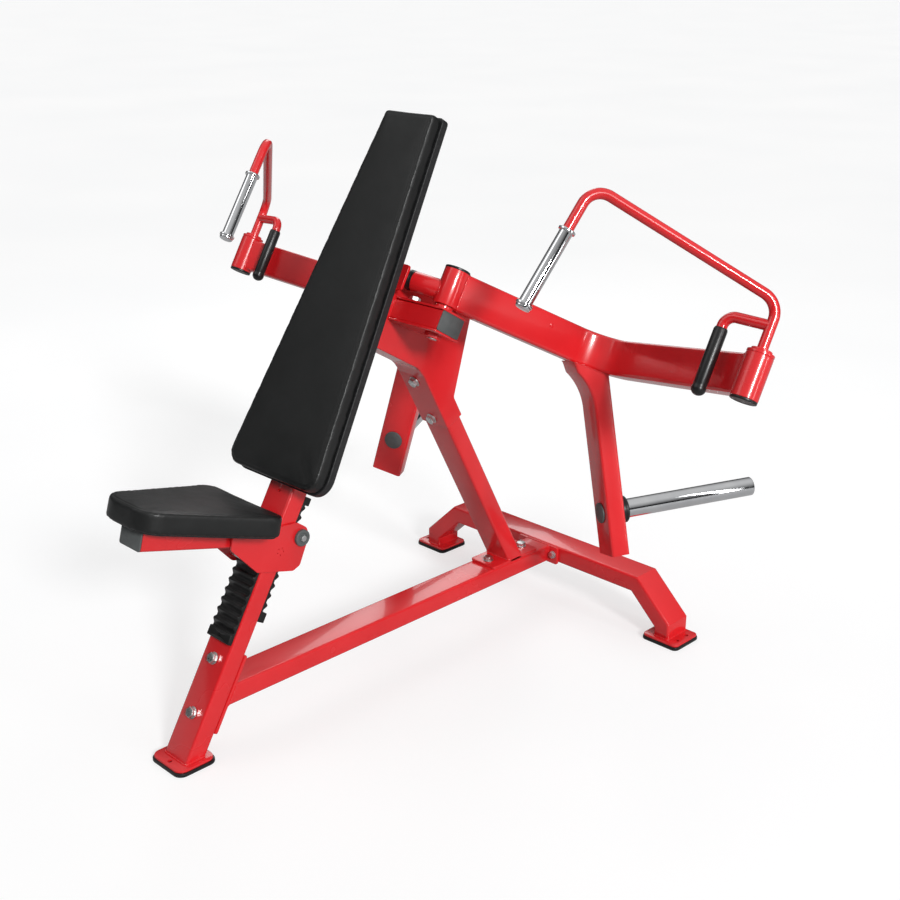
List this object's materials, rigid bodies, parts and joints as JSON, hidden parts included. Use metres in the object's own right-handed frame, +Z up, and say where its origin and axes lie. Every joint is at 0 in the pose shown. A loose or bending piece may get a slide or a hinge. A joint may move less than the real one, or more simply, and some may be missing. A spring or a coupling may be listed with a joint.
{
  "type": "chest press machine",
  "caption": "Free-standing plate-loaded chest press with a leaning post, padded back rest, sliding seat, two swinging press arms with swivel handles and plate horns.",
  "frame": {"origin": "middle of the machine's footprint box, on the floor", "axes": "+X to the user's left, across the machine; +Y towards the back of the machine; +Z up"},
  "size_m": [1.859, 1.5704, 1.4573],
  "materials": {
    "red_frame": "gloss powder coat",
    "zinc_steel": "zinc plated",
    "chrome": "polished",
    "rubber": "moulded",
    "grey_plastic": "moulded",
    "black_plastic": "moulded",
    "vinyl": "grained upholstery vinyl",
    "board": "painted board"
  },
  "bodies": {
    "frame": {"front_post": "red_frame", "front_foot_plate": "red_frame", "front_foot_pad": "rubber", "base_spine": "red_frame", "rear_crossbeam": "red_frame", "left_rear_foot_pad": "rubber", "right_rear_foot_pad": "rubber", "lower_post_bolt": "zinc_steel", "upper_post_bolt": "zinc_steel", "left_spine_bolt": "zinc_steel", "right_spine_bolt": "zinc_steel", "rear_upright": "red_frame", "front_upright_bolt": "zinc_steel", "rear_upright_bolt": "zinc_steel", "head_bracket": "red_frame", "head_plate": "red_frame", "lower_head_bolt": "zinc_steel", "upper_head_bolt": "zinc_steel", "pivot_beam": "red_frame", "left_beam_cap": "grey_plastic", "right_beam_cap": "grey_plastic", "left_pivot_shaft": "zinc_steel", "right_pivot_shaft": "zinc_steel", "back_cushion": "vinyl", "back_board": "board", "front_rack": "black_plastic", "rear_rack": "black_plastic"},
    "left_arm": {"left_pivot_housing": "red_frame", "left_pivot_cap": "black_plastic", "left_stop_bumper": "rubber", "left_press_arm": "red_frame", "left_weight_arm": "red_frame", "left_weight_horn": "chrome", "left_horn_bumper": "rubber", "left_horn_plug": "grey_plastic", "left_handle_cap": "black_plastic"},
    "right_arm": {"right_pivot_housing": "red_frame", "right_pivot_cap": "black_plastic", "right_stop_bumper": "rubber", "right_press_arm": "red_frame", "right_weight_arm": "red_frame", "right_weight_horn": "chrome", "right_horn_bumper": "rubber", "right_horn_plug": "grey_plastic", "right_handle_cap": "black_plastic"},
    "left_handle": {"left_handle_frame": "red_frame", "left_rubber_grip": "rubber"},
    "right_handle": {"right_handle_frame": "red_frame", "right_rubber_grip": "rubber"},
    "left_grip": {"left_chrome_grip": "chrome"},
    "right_grip": {"right_chrome_grip": "chrome"},
    "seat_carriage": {"seat_roller": "grey_plastic"},
    "seat": {"left_seat_bracket": "red_frame", "right_seat_bracket": "red_frame", "seat_pawl_pin": "zinc_steel", "seat_tube": "red_frame", "seat_tube_cap": "grey_plastic", "seat_board": "board", "seat_cushion": "vinyl"}
  },
  "joints": [
    {"name": "left_arm_press", "type": "hinge", "parent": "frame", "child": "left_arm", "pos_m": [0.17, 0.0661, 1.06406], "axis": [0, -0.5075, -0.8616], "range_deg": [0, 66]},
    {"name": "left_handle_swivel", "type": "hinge", "parent": "left_arm", "child": "left_handle", "pos_m": [0.898, 0.25221, 0.95443], "axis": [0, 0.5075, 0.8616], "range_deg": [0, 35]},
    {"name": "left_grip_spin", "type": "hinge", "parent": "left_handle", "child": "left_grip", "pos_m": [0.531, -0.08188, 1.10248], "axis": [0.113, 0.5957, 0.7952], "continuous": true},
    {"name": "right_arm_press", "type": "hinge", "parent": "frame", "child": "right_arm", "pos_m": [-0.17, 0.0661, 1.06406], "axis": [0, 0.5075, 0.8616], "range_deg": [0, 66]},
    {"name": "right_handle_swivel", "type": "hinge", "parent": "right_arm", "child": "right_handle", "pos_m": [-0.898, 0.25221, 0.95443], "axis": [0, -0.5075, -0.8616], "range_deg": [0, 35]},
    {"name": "right_grip_spin", "type": "hinge", "parent": "right_handle", "child": "right_grip", "pos_m": [-0.531, -0.08188, 1.10248], "axis": [-0.113, 0.5957, 0.7952], "continuous": true},
    {"name": "seat_height", "type": "slide", "parent": "frame", "child": "seat_carriage", "axis": [0, 0.5075, 0.8616], "range_m": [-0.15, 0.05]},
    {"name": "seat_lift", "type": "hinge", "parent": "seat_carriage", "child": "seat", "pos_m": [0, -0.33059, 0.49111], "axis": [-1, 0, 0], "range_deg": [0, 6]}
  ]
}
